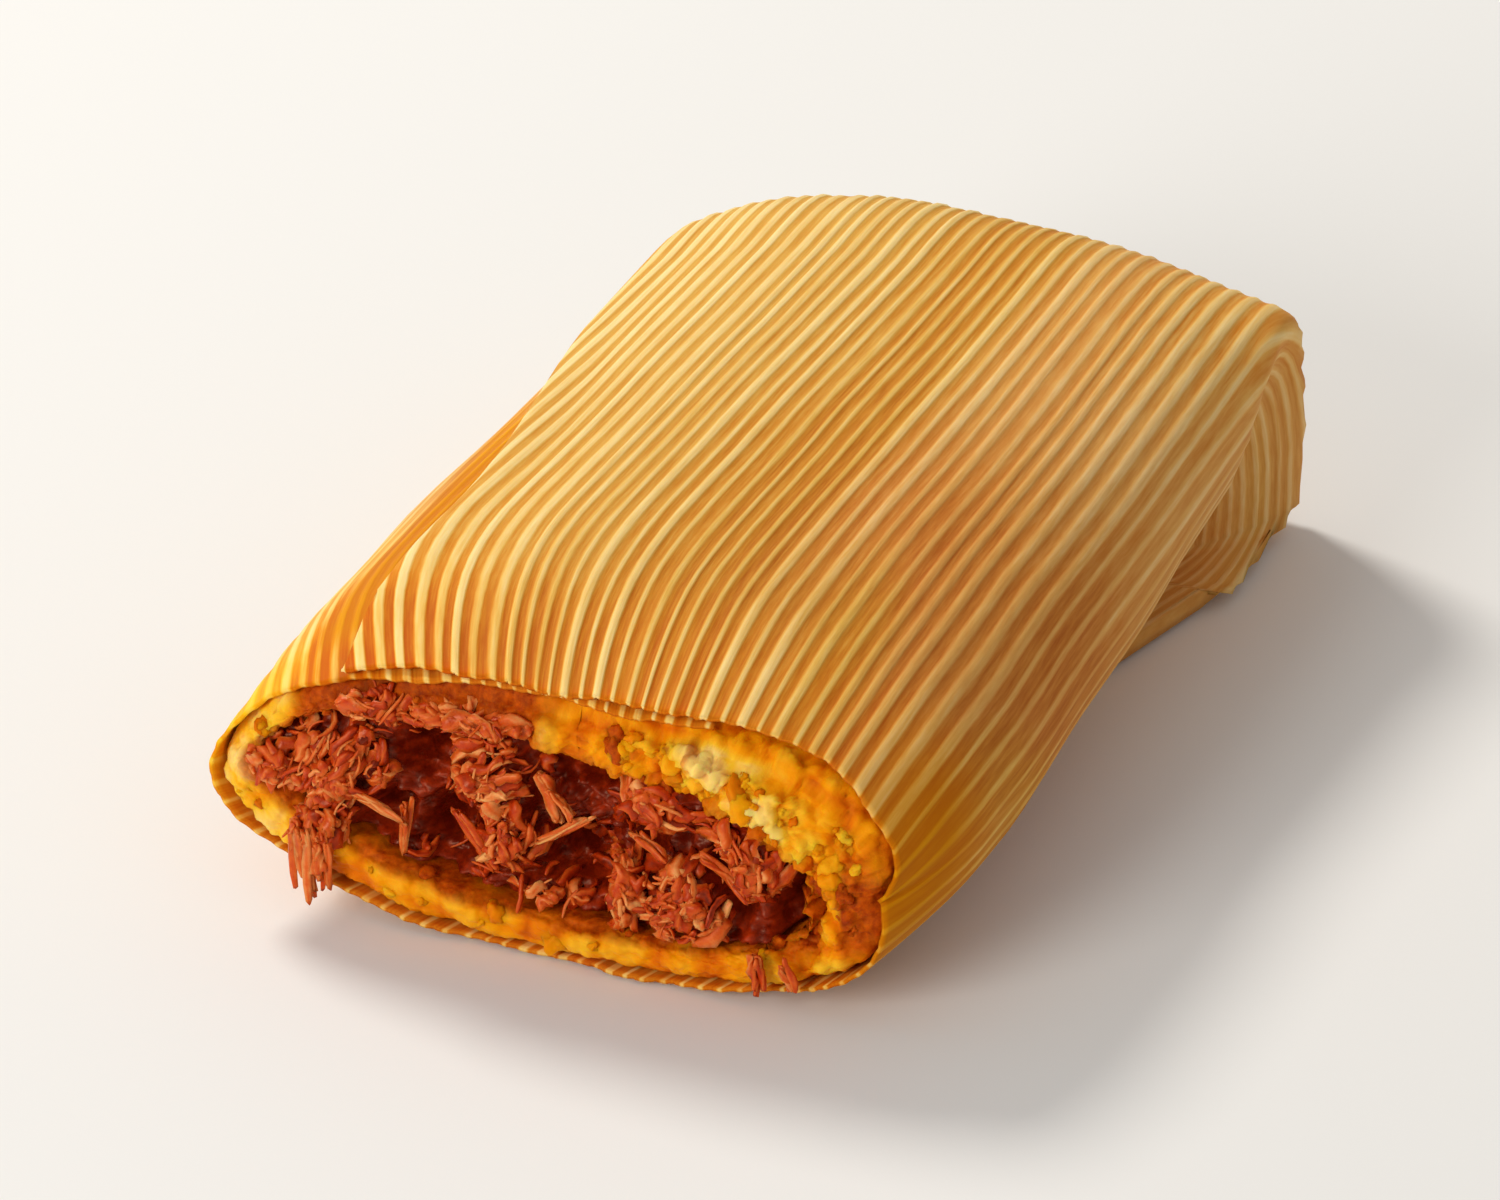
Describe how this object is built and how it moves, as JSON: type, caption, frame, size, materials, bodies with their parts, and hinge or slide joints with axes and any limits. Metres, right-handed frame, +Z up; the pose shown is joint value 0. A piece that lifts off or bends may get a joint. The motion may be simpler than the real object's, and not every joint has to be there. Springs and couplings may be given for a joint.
{
  "type": "tamale",
  "caption": "Tamale cut open at its front end: corn husk wrapped round orange masa and shredded red pork, with the far end folded under.",
  "frame": {"origin": "middle of the bounding box, on the surface that the tamale rests on", "axes": "+X across the width, to the right for a viewer who faces the cut; +Y from the cut to the folded end; +Z up"},
  "size_m": [0.0652, 0.0986, 0.0294],
  "materials": {
    "husk": "dry ribbed leaf with a soft sheen",
    "masa": "moist and crumbly",
    "pork": "moist shreds in red sauce"
  },
  "bodies": {
    "root": {"husk": "husk", "masa": "masa", "pork": "pork"}
  },
  "joints": []
}
